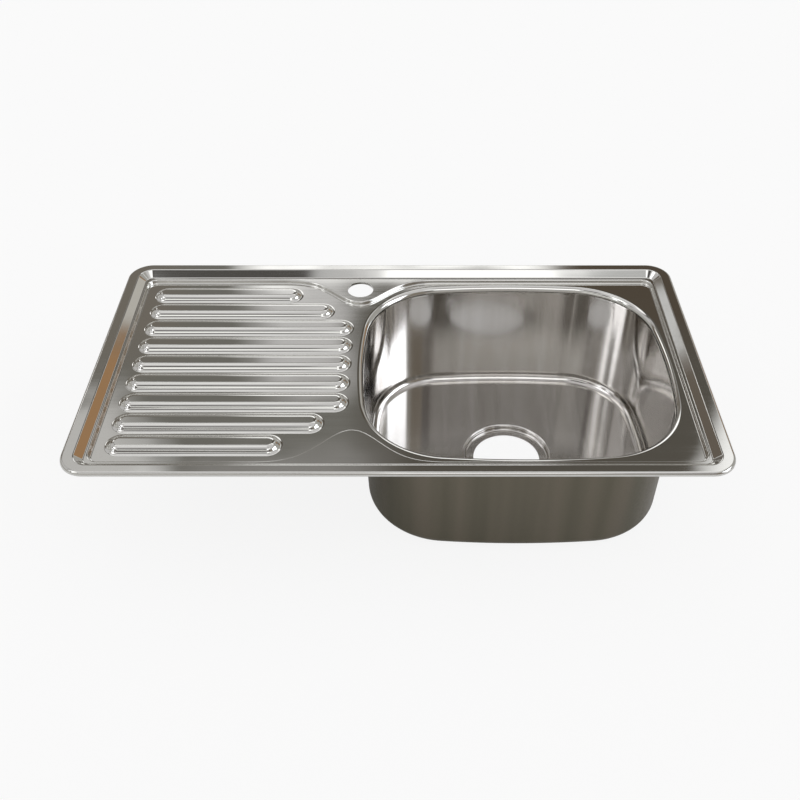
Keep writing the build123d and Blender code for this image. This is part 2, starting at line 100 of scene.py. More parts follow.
class SheetMetal:
    """Gathers one sheet's upper side, with the true normal of every point, and gives it its thickness."""

    def __init__(self):
        self.points, self.normals, self.faces, self.spots = [], [], [], []

    def ring(self, plan, outward, offset, level, tilt):
        """A closed ring of points beside an outline. The tilt turns the normal from up to outward."""
        first = len(self.points)
        for (x, y), (nx, ny) in zip(plan, outward):
            self.points.append((x + offset * nx, y + offset * ny, level))
            self.normals.append((nx * math.sin(tilt), ny * math.sin(tilt), math.cos(tilt)))
        return list(range(first, len(self.points)))

    def strip(self, rings):
        """Quads between each ring and the next. Their map runs along the rings and down the profile."""
        count = len(rings[0])
        loop = np.array([self.points[i] for i in rings[0] + rings[0][:1]])
        along = np.append(0.0, np.cumsum(np.linalg.norm(np.diff(loop, axis=0), axis=1)))
        down = 0.0
        for one, two in zip(rings, rings[1:]):
            lower = down + float(np.linalg.norm(np.subtract(self.points[two[0]], self.points[one[0]])))
            for i in range(count):
                j = (i + 1) % count
                spots = [(along[i], down), (along[i], lower), (along[i + 1], lower), (along[i + 1], down)]
                self.face((one[i], two[i], two[j], one[j]), spots)
            down = lower

    def face(self, corners, spots):
        """A face with its corners' places on the map, turned so that it looks the way its normals do."""
        a, b, c = (Vector(self.points[corner]) for corner in corners[:3])
        looks = (b - a).cross(c - a)
        if len(corners) == 4 and looks.length < ALMOST_NOUGHT:
            looks = (c - a).cross(Vector(self.points[corners[3]]) - a)
        wanted = sum((Vector(self.normals[corner]) for corner in corners), Vector())
        way = 1 if looks.dot(wanted) > 0 else -1
        self.faces.append(tuple(corners[::way]))
        self.spots.append(spots[::way])

    def sweep(self, outline, profile):
        """Bends the sheet along an outline. The profile's rows hold offset, level and tilt."""
        rings = [self.ring(*outline, *row) for row in profile]
        self.strip(rings)
        return rings[0], rings[-1]

    def fill(self, *loops):
        """A flat between closed rings."""
        flat = bmesh.new()
        lookup = {}
        edges = []
        for loop in loops:
            made = [flat.verts.new(self.points[i]) for i in loop]
            lookup.update({vert: i for vert, i in zip(made, loop)})
            edges += [flat.edges.new((a, b)) for a, b in zip(made, made[1:] + made[:1])]
        bmesh.ops.triangle_fill(flat, use_beauty=True, use_dissolve=False, edges=edges)
        for face in flat.faces:
            corners = [lookup[vert] for vert in face.verts]
            self.face(corners, [self.points[corner][:2] for corner in corners])
        flat.free()

    def finish(self, name, thickness):
        """The closed sheet: the side drawn here, the other side, and the cut edges between them."""
        points = np.array(self.points)
        normals = np.array(self.normals)
        count = len(points)
        under = points - thickness * normals
        faces = list(self.faces) + [tuple(i + count for i in reversed(face)) for face in self.faces]
        corner_normals = [normals[i] for face in self.faces for i in face]
        corner_normals += [-normals[i] for face in self.faces for i in reversed(face)]
        spots = [spot for row in self.spots for spot in row]
        spots += [spot for row in self.spots for spot in reversed(row)]
        directed = {(a, b) for face in self.faces for a, b in zip(face, face[1:] + face[:1])}
        border = [(a, b) for a, b in directed if (b, a) not in directed]
        follows = {a: b for a, b in border}
        leads = {b: a for a, b in border}
        for a, b in border:
            faces.append((b, a, a + count, b + count))
            ends = []
            for i in (b, a):
                along = points[follows[i]] - points[leads[i]]
                edge_normal = np.cross(along, normals[i])
                ends.append(edge_normal / np.linalg.norm(edge_normal))
            corner_normals += [ends[0], ends[1], ends[1], ends[0]]
            spots += [points[b][:2], points[a][:2], points[a][:2], points[b][:2]]
        mesh = bpy.data.meshes.new(name)
        mesh.from_pydata((np.vstack([points, under]) * MM).tolist(), [], faces)
        mesh.polygons.foreach_set("use_smooth", [True] * len(mesh.polygons))
        side = len(self.faces)
        mesh.polygons.foreach_set("material_index", [0] * side + [1] * side + [0] * (len(faces) - 2 * side))
        mesh.normals_split_custom_set([tuple(n) for n in corner_normals])
        grain = mesh.uv_layers.new(name="grain")
        grain.data.foreach_set("uv", (np.array([tuple(spot) for spot in spots]) * MM).ravel())
        mesh.update()
        piece = bpy.data.objects.new(name, mesh)
        bpy.context.scene.collection.objects.link(piece)
        return piece


def arc(centre, radius, start, end, steps):
    """Points on an arc in plan, with their outward normals."""
    turns = np.radians(np.linspace(start, end, steps + 1))
    outward = np.column_stack([np.cos(turns), np.sin(turns)])
    return np.array(centre) + radius * outward, outward


def circle(centre, radius, sides):
    """A closed ring of points in plan, with their outward normals."""
    return arc(centre, radius, 0, 360 - 360 / sides, sides - 1)


def chain(*parts):
    """Joins arcs into one closed outline, without the points that lie on each other."""
    plan = np.vstack([part[0] for part in parts])
    outward = np.vstack([part[1] for part in parts])
    keep = np.linalg.norm(plan - np.roll(plan, 1, axis=0), axis=1) > SAME_SPOT
    return plan[keep], outward[keep]


def round_rectangle(half_x, half_y, radius, steps):
    """A rectangle with round corners, about the origin."""
    x, y = half_x - radius, half_y - radius
    return chain(
        arc((x, y), radius, 0, 90, steps),
        arc((-x, y), radius, 90, 180, steps),
        arc((-x, -y), radius, 180, 270, steps),
        arc((x, -y), radius, 270, 360, steps),
    )


def bend(centre_offset, centre_level, radius, start, end, steps):
    """Rows of a profile round a bend. A negative radius is a hollow bend."""
    rows = []
    for tilt in np.linspace(math.radians(start), math.radians(end), steps + 1):
        offset = centre_offset + radius * math.sin(tilt)
        rows.append((offset, centre_level + radius * math.cos(tilt), tilt))
    return rows


def landing_edge(steps):
    """The bell-shaped edge of the back landing, from right to left."""
    end = math.exp(-(LANDING_SKIRT**2))
    span = LANDING_SKIRT * LANDING_SPREAD
    x = np.linspace(LANDING_X + span, LANDING_X - span, steps + 1)
    bell = np.exp(-(((x - LANDING_X) / LANDING_SPREAD) ** 2))
    rise = LANDING_REACH * (bell - end) / (1 - end)
    slope = -2 * (x - LANDING_X) / LANDING_SPREAD**2 * LANDING_REACH * bell / (1 - end)
    slope[0] = slope[-1] = 0.0
    outward = np.column_stack([slope, np.ones_like(slope)])
    outward /= np.linalg.norm(outward, axis=1)[:, None]
    return np.column_stack([x, RECESS_HALF[1] - rise]), outward


def recess_edge():
    """The low level's outline, which bends in round both landings."""
    x, y = RECESS_HALF[0] - RECESS_CORNER, RECESS_HALF[1] - RECESS_CORNER
    back, back_outward = landing_edge(steps=96)
    mirrored = np.array([1, -1])
    return chain(
        arc((x, y), RECESS_CORNER, 0, 90, steps=14),
        (back, back_outward),
        arc((-x, y), RECESS_CORNER, 90, 180, steps=14),
        arc((-x, -y), RECESS_CORNER, 180, 270, steps=14),
        (back[::-1] * mirrored, back_outward[::-1] * mirrored),
        arc((x, -y), RECESS_CORNER, 270, 360, steps=14),
    )


def mouth_edge(end_steps=44, side_steps=44, corner_steps=36):
    """The bowl's mouth: four flat arcs and four corners, each tangent to the next."""
    end_radius, side_radius, corner = MOUTH_RADII
    end_x, side_y = MOUTH_HALF[0] - end_radius, MOUTH_HALF[1] - side_radius
    reach_end, reach_side = end_radius - corner, side_radius - corner
    apart = math.hypot(end_x, side_y)
    along = (reach_end**2 - reach_side**2 + apart**2) / (2 * apart)
    across = math.sqrt(reach_end**2 - along**2)
    x = end_x * (1 - along / apart) - side_y / apart * across
    y = side_y * along / apart - end_x / apart * across
    turn_end = math.degrees(math.atan2(y, x - end_x))
    turn_side = math.degrees(math.atan2(y - side_y, x))
    plan, outward = chain(
        arc((end_x, 0), end_radius, -turn_end, turn_end, end_steps),
        arc((x, y), corner, turn_end, turn_side, corner_steps),
        arc((0, side_y), side_radius, turn_side, 180 - turn_side, side_steps),
        arc((-x, y), corner, 180 - turn_side, 180 - turn_end, corner_steps),
        arc((-end_x, 0), end_radius, 180 - turn_end, 180 + turn_end, end_steps),
        arc((-x, -y), corner, 180 + turn_end, 180 + turn_side, corner_steps),
        arc((0, -side_y), side_radius, 180 + turn_side, 360 - turn_side, side_steps),
        arc((x, -y), corner, 360 - turn_side, 360 - turn_end, corner_steps),
    )
    return plan + np.array([BOWL_X, 0]), outward


def rib_edge(index):
    """The foot of one rib: a slot with round ends. The two outer ribs on each side are shorter."""
    from_outside = min(index, RIB_COUNT - 1 - index)
    right = RIB_RIGHT[max(0, len(RIB_RIGHT) - 1 - from_outside)]
    radius = RIB_WIDTH / 2
    y = (index - (RIB_COUNT - 1) / 2) * RIB_PITCH
    return chain(
        arc((right - radius, y), radius, -90, 90, steps=40),
        arc((RIB_LEFT + radius, y), radius, 90, 270, steps=40),
    )


deck = SheetMetal()
lip_rows = [(0.0, LIP_END, math.pi / 2)]
lip_rows += bend(-RIM_ROLL, RIM_TOP - RIM_ROLL, RIM_ROLL, 90, 0, steps=12)
_, rim_inner = deck.sweep(round_rectangle(*RIM_HALF, RIM_CORNER, steps=28), lip_rows)

wall_turn = math.degrees(math.atan2(WALL_DROP, WALL_RUN))
top_reach, foot_reach = (radius * math.tan(math.radians(wall_turn / 2)) for radius in WALL_BENDS)
wall_rows = bend(top_reach, RIM_TOP - WALL_BENDS[0], WALL_BENDS[0], 0, -wall_turn, steps=8)
wall_rows += bend(-WALL_RUN - foot_reach, LEDGE + WALL_BENDS[1], -WALL_BENDS[1], -wall_turn, 0, steps=8)
wall_top, wall_foot = deck.sweep(round_rectangle(*WALL_HALF, WALL_CORNER, steps=24), wall_rows)
deck.fill(rim_inner, wall_top)

step_rows = bend(STEP_BEND, LEDGE - STEP_BEND, STEP_BEND, 0, -90, steps=10)
step_rows += bend(-STEP_BEND, LOW + STEP_BEND, -STEP_BEND, -90, 0, steps=10)
step_top, step_foot = deck.sweep(recess_edge(), step_rows)

tap_x, tap_y, tap_radius = TAP_HOLE
tap_ring = deck.ring(*circle((tap_x, tap_y), tap_radius, sides=72), 0.0, LEDGE, 0.0)
deck.fill(wall_foot, step_top, tap_ring)

rib_foot_reach, rib_top_reach = (radius * math.tan(math.radians(RIB_SLOPE / 2)) for radius in RIB_BENDS)
rib_top = LOW + RIB_HEIGHT
rib_rows = bend(rib_foot_reach, LOW + RIB_BENDS[0], -RIB_BENDS[0], 0, RIB_SLOPE, steps=8)
rib_rows += bend(-RIB_HEIGHT - rib_top_reach, rib_top - RIB_BENDS[1], RIB_BENDS[1], RIB_SLOPE, 0, steps=8)
rib_feet = []
for index in range(RIB_COUNT):
    foot, top = deck.sweep(rib_edge(index), rib_rows)
    rib_feet.append(foot)
    deck.fill(top)

mouth_rows = bend(0.0, LOW - MOUTH_ROLL, MOUTH_ROLL, 0, -90, steps=16)
mouth_rows.append((-MOUTH_ROLL, WELD, -math.pi / 2))
mouth_top, _ = deck.sweep(mouth_edge(), mouth_rows)
deck.fill(step_foot, mouth_top, *rib_feet)
deck_piece = deck.finish("pressed_deck", SHEET)

# The numbers of a Mix node's sockets: its amount, its two colours and, among its outputs, the mixed colour.
MIX_AMOUNT, MIX_FIRST, MIX_SECOND, MIX_COLOR = 0, 6, 7, 2


class Finish:
    """A material being built, with short ways to add the nodes that its finish needs."""

    def __init__(self, name, color, roughness, metallic=1.0):
        self.material = bpy.data.materials.new(name)
        self.material.use_nodes = True
        self.tree = self.material.node_tree
        self.shader = self.tree.nodes["Principled BSDF"]
        self.shader.inputs["Base Color"].default_value = (*color, 1)
        self.shader.inputs["Metallic"].default_value = metallic
        self.shader.inputs["Roughness"].default_value = roughness
        coordinates = self.tree.nodes.new("ShaderNodeTexCoord")
        self.place, self.map = coordinates.outputs["Object"], coordinates.outputs["UV"]

    def link(self, source, node, socket):
        self.tree.links.new(source, node.inputs[socket])

    def stretch(self, scale, place=None):
        """Coordinates scaled differently along each axis."""
        mapping = self.tree.nodes.new("ShaderNodeMapping")
        mapping.inputs["Scale"].default_value = scale
        self.link(place or self.place, mapping, "Vector")
        return mapping.outputs["Vector"]

    def noise(self, scale, detail=2.0, place=None):
        node = self.tree.nodes.new("ShaderNodeTexNoise")
        node.inputs["Scale"].default_value = scale
        node.inputs["Detail"].default_value = detail
        self.link(place or self.place, node, "Vector")
        return node.outputs["Fac"]

    def ranged(self, value, low, high, to_low, to_high):
        """Stretches the values from low to high over the values from to_low to to_high."""
        node = self.tree.nodes.new("ShaderNodeMapRange")
        ends = {"From Min": low, "From Max": high, "To Min": to_low, "To Max": to_high}
        for socket, number in ends.items():
            node.inputs[socket].default_value = number
        self.link(value, node, "Value")
        return node.outputs["Result"]

    def blend_colors(self, amount, first, second):
        node = self.tree.nodes.new("ShaderNodeMix")
        node.data_type = "RGBA"
        for socket, color in ((MIX_FIRST, first), (MIX_SECOND, second)):
            if isinstance(color, tuple):
                node.inputs[socket].default_value = (*color, 1)
            else:
                self.link(color, node, socket)
        self.link(amount, node, MIX_AMOUNT)
        return node.outputs[MIX_COLOR]

    def relief(self, height, distance, under=None):
        """A bump of that many metres, over another one."""
        node = self.tree.nodes.new("ShaderNodeBump")
        node.inputs["Distance"].default_value = distance
        self.link(height, node, "Height")
        if under is not None:
            self.link(under, node, "Normal")
        return node.outputs["Normal"]

    def brushed(self, amount):
        """Makes reflections longer down the map than across it, as fine polishing lines do."""
        self.shader.inputs["Anisotropic"].default_value = amount
        self.shader.inputs["Anisotropic Rotation"].default_value = 0.25
        tangent = self.tree.nodes.new("ShaderNodeTangent")
        tangent.direction_type = "UV_MAP"
        tangent.uv_map = "grain"
        self.link(tangent.outputs["Tangent"], self.shader, "Tangent")

    def wear(self, **sockets):
        """Joins the sources to the shader's sockets and hands over the material."""
        for name, source in sockets.items():
            self.link(source, self.shader, name.replace("_", " "))
        return self.material


polish = Finish("polished_steel", (0.72, 0.71, 0.69), 0.07)
rubbed = polish.noise(1.0, 3.0, polish.stretch((7, 420, 420)))
polish.brushed(0.5)
polished_steel = polish.wear(
    Base_Color=polish.blend_colors(polish.noise(5.0), (0.695, 0.688, 0.66), (0.745, 0.742, 0.72)),
    Roughness=polish.ranged(rubbed, 0.3, 0.7, 0.035, 0.075),
    Normal=polish.relief(rubbed, 0.000003, polish.relief(polish.noise(11.0, 1.0), 0.0006)),
)

# The steel's outside and underside: dull, with real drawing streaks, but its colour is painted dark, a
# painted reflection of a dark room below the sink.
dull_painted_dark = Finish("drawn_steel_painted_dark", (0.14, 0.13, 0.105), 0.34)
streaks = dull_painted_dark.noise(1.0, 2.0, dull_painted_dark.stretch((26, 1.0, 1), dull_painted_dark.map))
drawn_steel_painted_dark = dull_painted_dark.wear(
    Base_Color=dull_painted_dark.blend_colors(
        dull_painted_dark.ranged(streaks, 0.3, 0.7, 0, 1), (0.148, 0.139, 0.103), (0.212, 0.186, 0.147)
    ),
    Roughness=dull_painted_dark.ranged(dull_painted_dark.noise(350.0), 0.3, 0.7, 0.28, 0.40),
    Normal=dull_painted_dark.relief(streaks, 0.0002),
)
deck_piece.data.materials.append(polished_steel)
# The deck's underside takes the steel whose colour is painted dark, a painted reflection.
deck_piece.data.materials.append(drawn_steel_painted_dark)
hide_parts("drainer_deck")
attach(deck_piece, "sink")


# Bowl -------------------------------------------------------------------------------------------------
# Deep-drawn from the same sheet, welded edge to edge under the deck's mouth and dressed flush. Its floor
# has a sunk seat for the basket waste round a hole of 90 mm.

BOWL_DEPTH, FLOOR_BEND = 172.0, 13.0
BOWL_FLOOR = RIM_TOP - BOWL_DEPTH
DRAFT = 0.7
WASTE_SEAT, WASTE_HOLE, WASTE_DROP = 57.0, 45.0, 7.0
WASTE_BENDS = (3.0, 2.5)

bowl = SheetMetal()
foot_inset = MOUTH_ROLL + (WELD - BOWL_FLOOR) * math.tan(math.radians(DRAFT))
floor_reach = FLOOR_BEND * math.tan(math.radians((90 - DRAFT) / 2))
bowl_rows = [(-MOUTH_ROLL, WELD, -math.radians(90 - DRAFT))]
bend_centre = BOWL_FLOOR + FLOOR_BEND
bowl_rows += bend(-foot_inset - floor_reach, bend_centre, -FLOOR_BEND, DRAFT - 90, 0, steps=20)
_, floor_ring = bowl.sweep(mouth_edge(), bowl_rows)

waste_edge = circle((BOWL_X, 0), WASTE_SEAT, sides=120)
waste_rows = bend(WASTE_BENDS[0], BOWL_FLOOR - WASTE_BENDS[0], WASTE_BENDS[0], 0, -90, steps=8)
waste_level = BOWL_FLOOR - WASTE_DROP
waste_rows += bend(-WASTE_BENDS[1], waste_level + WASTE_BENDS[1], -WASTE_BENDS[1], -90, 0, steps=8)
waste_rows.append((WASTE_HOLE - WASTE_SEAT, waste_level, 0.0))
waste_top, _ = bowl.sweep(waste_edge, waste_rows)
bowl.fill(floor_ring, waste_top)
bowl_piece = bowl.finish("drawn_bowl", SHEET)

satin = Finish("satin_steel", (0.66, 0.635, 0.61), 0.12)
drawn = satin.noise(1.0, 2.0, satin.stretch((55, 1.5, 1), satin.map))
grain = satin.noise(900.0, 2.0)
satin.brushed(0.8)
satin_steel = satin.wear(
    Base_Color=satin.blend_colors(
        satin.ranged(drawn, 0.35, 0.65, 0, 1), (0.635, 0.615, 0.59), (0.69, 0.675, 0.655)
    ),
    Roughness=satin.ranged(grain, 0.3, 0.7, 0.10, 0.14),
    Normal=satin.relief(grain, 0.000004, satin.relief(drawn, 0.00008)),
)
bowl_piece.data.materials.append(satin_steel)
# The bowl's outside takes the steel whose colour is painted dark, a painted reflection.
bowl_piece.data.materials.append(drawn_steel_painted_dark)
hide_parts("bowl")
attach(bowl_piece, "sink")


# Sound pads -------------------------------------------------------------------------------------------
# Two sheets of black bitumen felt with a pebbled face, warmed and pressed on under the bowl's floor beside
# the waste, so that falling water does not drum. Their cut edges are a little rounded.

PAD_LONG, PAD_WIDE, PAD_THICK = 88.17, 150.0, 2.0
PAD_CORNER, PAD_EDGE = 8.0, 0.6
PAD_FROM_WASTE = 67.0

bitumen = Finish("bitumen_felt", (0.03, 0.029, 0.028), 0.75, 0.0)
pebbles = bitumen.tree.nodes.new("ShaderNodeTexVoronoi")
pebbles.feature = "SMOOTH_F1"
pebbles.inputs["Scale"].default_value = 380.0
bitumen.link(bitumen.place, pebbles, "Vector")
felt = bitumen.noise(1400.0, 3.0)
bitumen_felt = bitumen.wear(
    Base_Color=bitumen.blend_colors(bitumen.noise(60.0), (0.022, 0.021, 0.02), (0.05, 0.048, 0.045)),
    Roughness=bitumen.ranged(felt, 0.3, 0.7, 0.62, 0.88),
    Normal=bitumen.relief(felt, 0.00005, bitumen.relief(pebbles.outputs["Distance"], 0.0006)),
)
outline, _ = round_rectangle(PAD_LONG / 2, PAD_WIDE / 2, PAD_CORNER, steps=10)
under_floor = BOWL_FLOOR - SHEET
for side, label in ((-1, "left"), (1, "right")):
    shape = bmesh.new()
    middle = BOWL_X + side * (PAD_FROM_WASTE + PAD_LONG / 2)
    corners = [shape.verts.new(((x + middle) * MM, y * MM, under_floor * MM)) for x, y in outline]
    face = shape.faces.new(corners)
    lowered = bmesh.ops.extrude_face_region(shape, geom=[face])["geom"]
    moved = [part for part in lowered if isinstance(part, bmesh.types.BMVert)]
    bmesh.ops.translate(shape, verts=moved, vec=(0, 0, -PAD_THICK * MM))
    lower_edges = [edge for edge in shape.edges if all(vert in moved for vert in edge.verts)]
    bmesh.ops.bevel(shape, geom=lower_edges, offset=PAD_EDGE * MM, segments=3, affect="EDGES", profile=0.5)
    bmesh.ops.recalc_face_normals(shape, faces=shape.faces)
    mesh = bpy.data.meshes.new(f"sound_pad_{label}")
    shape.to_mesh(mesh)
    shape.free()
    mesh.materials.append(bitumen_felt)
    pad = bpy.data.objects.new(mesh.name, mesh)
    bpy.context.scene.collection.objects.link(pad)
    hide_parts(f"bowl_pad_{label}")
    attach(pad, "sink")


# Rim seal ---------------------------------------------------------------------------------------------
# A strip of grey closed-cell foam, 8 mm wide, stuck under the flat of the rim all the way round. The
# worktop squeezes it, so its section is a rectangle with softly rounded corners.

SEAL_WIDE, SEAL_INSIDE, SEAL_CORNER = 8.0, (362.2, 193.3), 19.8
SEAL_HIGH = RIM_TOP - SHEET


class Shaper:
    """A Geometry Nodes tree being built, with its sizes as named inputs."""

    def __init__(self, name):
        self.name = name
        self.tree = bpy.data.node_groups.new(name, "GeometryNodeTree")
        self.tree.interface.new_socket("Geometry", in_out="INPUT", socket_type="NodeSocketGeometry")
        self.tree.interface.new_socket("Geometry", in_out="OUTPUT", socket_type="NodeSocketGeometry")
        self.start = self.tree.nodes.new("NodeGroupInput")
        self.sizes = {}

    def size(self, label, millimetres):
        """A named length, which the modifier sets."""
        socket = self.tree.interface.new_socket(label, in_out="INPUT", socket_type="NodeSocketFloat")
        self.sizes[socket.identifier] = millimetres * MM
        return self.start.outputs[label]

    def step(self, kind, *values, **named):
        """A node. Values fill its sockets in order or by name, and lower-case names are its settings."""
        node = self.tree.nodes.new(kind)
        for label, value in named.items():
            if label[0].islower():
                setattr(node, label, value)
        pairs = list(zip(node.inputs, values))
        pairs += [(node.inputs[k.replace("_", " ")], v) for k, v in named.items() if not k[0].islower()]
        for socket, value in pairs:
            if isinstance(value, bpy.types.NodeSocket):
                self.tree.links.new(value, socket)
            elif isinstance(value, list):
                for each in value:
                    self.tree.links.new(each, socket)
            elif value is not None:
                socket.default_value = value
        return node.outputs[0]

    def number(self, operation, *values):
        return self.step("ShaderNodeMath", *values, operation=operation)

    def along(self, height):
        """A vector that far up the axis, or a turn by that much about it."""
        return self.step("ShaderNodeCombineXYZ", 0.0, 0.0, height)

    def rod(self, radius, low, high, vertices=32):
        """A closed round bar on the axis."""
        depth = self.number("SUBTRACT", high, low)
        bar = self.step("GeometryNodeMeshCylinder", Vertices=vertices, Radius=radius, Depth=depth)
        middle = self.number("MULTIPLY", self.number("ADD", low, high), 0.5)
        return self.step("GeometryNodeTransform", bar, Translation=self.along(middle))

    def finish(self, geometry, material, sharp=35.0):
        """Smooth shading with crisp edges, plain geometry and the material."""
        angle = self.step("GeometryNodeInputMeshEdgeAngle")
        crisp = self.step("FunctionNodeCompare", angle, math.radians(sharp), operation="GREATER_THAN")
        real = self.step("GeometryNodeRealizeInstances", geometry)
        smooth = self.step("GeometryNodeSetShadeSmooth", real, Shade_Smooth=True)
        edged = self.step("GeometryNodeSetShadeSmooth", smooth, crisp, False, domain="EDGE")
        painted = self.step("GeometryNodeSetMaterial", edged, Material=material)
        self.tree.links.new(painted, self.tree.nodes.new("NodeGroupOutput").inputs[0])

    def form(self, name, seeds):
        """Runs the tree on a seed mesh and leaves the result as the piece's plain mesh."""
        piece = bpy.data.objects.new(name, seeds)
        bpy.context.scene.collection.objects.link(piece)
        modifier = piece.modifiers.new(self.name, "NODES")
        modifier.node_group = self.tree
        for identifier, value in self.sizes.items():
            modifier[identifier] = value
        graph = bpy.context.evaluated_depsgraph_get()
        mesh = bpy.data.meshes.new_from_object(piece.evaluated_get(graph))
        piece.modifiers.remove(modifier)
        piece.data = mesh
        mesh.name = name
        while mesh.materials and mesh.materials[0] is None:
            mesh.materials.pop(index=0)
        mesh.polygons.foreach_set("material_index", [0] * len(mesh.polygons))
        return piece


foam = Finish("seal_foam", (0.09, 0.09, 0.092), 0.85, 0.0)
cells = foam.tree.nodes.new("ShaderNodeTexVoronoi")
cells.inputs["Scale"].default_value = 1500.0
foam.link(foam.place, cells, "Vector")
seal_foam = foam.wear(
    Base_Color=foam.blend_colors(cells.outputs["Distance"], (0.11, 0.11, 0.112), (0.06, 0.06, 0.062)),
    Roughness=foam.ranged(foam.noise(300.0), 0.3, 0.7, 0.75, 0.95),
    Normal=foam.relief(cells.outputs["Distance"], 0.0001),
)
strip = Shaper("foam_strip")
wide, high = strip.size("Width", SEAL_WIDE), strip.size("Height", SEAL_HIGH)
section = strip.step("GeometryNodeCurvePrimitiveQuadrilateral", Width=wide, Height=high)
corner = strip.size("Corner", 0.9)
section = strip.step("GeometryNodeFilletCurve", section, Radius=corner, mode="POLY", Count=4)
route = strip.step("GeometryNodeMeshToCurve", strip.start.outputs[0])
route = strip.step("GeometryNodeSetCurveNormal", route, mode="Z_UP")
strip.finish(strip.step("GeometryNodeCurveToMesh", route, section), seal_foam)
half_x, half_y, turn = (inside + SEAL_WIDE / 2 for inside in (*SEAL_INSIDE, SEAL_CORNER))
centre_line, _ = round_rectangle(half_x, half_y, turn, steps=12)
seal_path = bpy.data.meshes.new("seal_path")
count = len(centre_line)
seal_path.from_pydata(
    [(x * MM, y * MM, SEAL_HIGH / 2 * MM) for x, y in centre_line],
    [(i, (i + 1) % count) for i in range(count)],
    [],
)
seal = strip.form("foam_seal", seal_path)
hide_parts("rim_seal")
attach(seal, "sink")


# Tap hole ring and clip hangers -----------------------------------------------------------------------
# The stiffening ring under the tap hole and the eight brackets of the clips, cut from plain stainless
# sheet and spot-welded to the deck. They keep the mill's dull rolled skin.

CLIPS = [f"{side}_{place}" for side in ("front", "back", "left", "right") for place in (1, 2)]


def finish_node(node, material):
    """Gives a CAD node its material."""
    for slot in frame["nodes"][node].material_slots:
        slot.material = material


mill = Finish("mill_stainless", (0.56, 0.545, 0.52), 0.36)
rolled = mill.noise(1.0, 3.0, mill.stretch((25, 700, 700)))
mill_stainless = mill.wear(
    Base_Color=mill.blend_colors(mill.noise(90.0), (0.50, 0.485, 0.46), (0.60, 0.585, 0.565)),
    Roughness=mill.ranged(rolled, 0.3, 0.7, 0.30, 0.44),
    Normal=mill.relief(rolled, 0.00001),
)
finish_node("tap_hole_ring", mill_stainless)
for clip in CLIPS:
    finish_node(f"clip_hanger_{clip}", mill_stainless)


# Clip arms and claws ----------------------------------------------------------------------------------
# Folded steel channels and toothed claws, bright zinc plated in a barrel, so they are pale and bluish,
# faintly cloudy, with a trace of straw where the passivation is thicker.

zinc = Finish("zinc_plate", (0.63, 0.65, 0.67), 0.3)
clouds = zinc.noise(70.0, 4.0)
zinc_plate = zinc.wear(
    Base_Color=zinc.blend_colors(
        zinc.ranged(clouds, 0.55, 0.75, 0, 1),
        zinc.blend_colors(zinc.noise(260.0), (0.58, 0.60, 0.63), (0.68, 0.70, 0.71)),
        (0.66, 0.62, 0.48),
    ),
    Roughness=zinc.ranged(zinc.noise(600.0), 0.3, 0.7, 0.24, 0.38),
    Normal=zinc.relief(zinc.noise(1200.0, 2.0), 0.00002),
)
for clip in CLIPS:
    finish_node(f"clip_arm_{clip}", zinc_plate)
    finish_node(f"clip_claw_{clip}", zinc_plate)


# Hinge rivets -----------------------------------------------------------------------------------------
# One steel rivet through each hanger's ears and arm's cheeks, 4 mm in the shank, with a domed head at both
# ends, zinc plated like the arm.

joints = {joint["name"]: joint for joint in frame["joints"]}


def seeds_at(name, clips):
    """One point at each clip's hinge, which knows the clip's turn: the claw travels towards the hinge."""
    mesh = bpy.data.meshes.new(name)
    mesh.from_pydata([joints[f"fold_{clip}"]["pos_m"] for clip in clips], [], [])
    travels = [joints[f"claw_travel_{clip}"]["axis"] for clip in clips]
    turn = mesh.attributes.new("turn", "FLOAT", "POINT")
    turn.data.foreach_set("value", [math.atan2(-y, -x) for x, y, _ in travels])
    return mesh


def at_hinges(shaper, piece):
    """Puts a copy of the piece at each seed, turned with its clip."""
    turn = shaper.step("GeometryNodeInputNamedAttribute", "turn", data_type="FLOAT")
    turned = shaper.step("FunctionNodeEulerToRotation", shaper.along(turn))
    hinges = shaper.start.outputs[0]
    return shaper.step("GeometryNodeInstanceOnPoints", hinges, Instance=piece, Rotation=turned)


rivet = Shaper("hinge_rivet")
reach = rivet.size("Grip", 8.3)
shank = rivet.rod(rivet.size("Shank radius", 2.0), rivet.number("MULTIPLY", reach, -1.0), reach, 24)
top = rivet.number("ADD", reach, rivet.size("Head height", 1.2))
dome = rivet.step("GeometryNodeCurvePrimitiveLine", Start=rivet.along(reach), End=rivet.along(top))
dome = rivet.step("GeometryNodeResampleCurve", dome, Count=8)
climb = rivet.step("GeometryNodeSplineParameter")
round_off = rivet.number("SQRT", rivet.number("SUBTRACT", 1.0, rivet.number("MULTIPLY", climb, climb)))
disc = rivet.step("GeometryNodeCurvePrimitiveCircle", Resolution=32, Radius=rivet.size("Head radius", 3.5))
head = rivet.step("GeometryNodeCurveToMesh", dome, disc, Scale=round_off, Fill_Caps=True)
head = rivet.step("GeometryNodeMergeByDistance", head, Distance=0.01 * MM)
other = rivet.step("GeometryNodeTransform", head, Rotation=(math.pi, 0.0, 0.0))
whole = rivet.step("GeometryNodeJoinGeometry", [shank, head, other])
whole = rivet.step("GeometryNodeTransform", whole, Rotation=(-math.pi / 2, 0.0, 0.0))
rivet.finish(at_hinges(rivet, whole), zinc_plate)
rivets = rivet.form("hinge_rivets", seeds_at("rivet_seeds", CLIPS))
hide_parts("clip_pins")
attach(rivets, "sink")


# Clip screws ------------------------------------------------------------------------------------------
# Slotted screws of 5 mm with a pitch of 0.8, tapped through the arm's foot. The plain neck runs in the
# claw and its end is riveted over, so turning the head walks the claw along the arm.

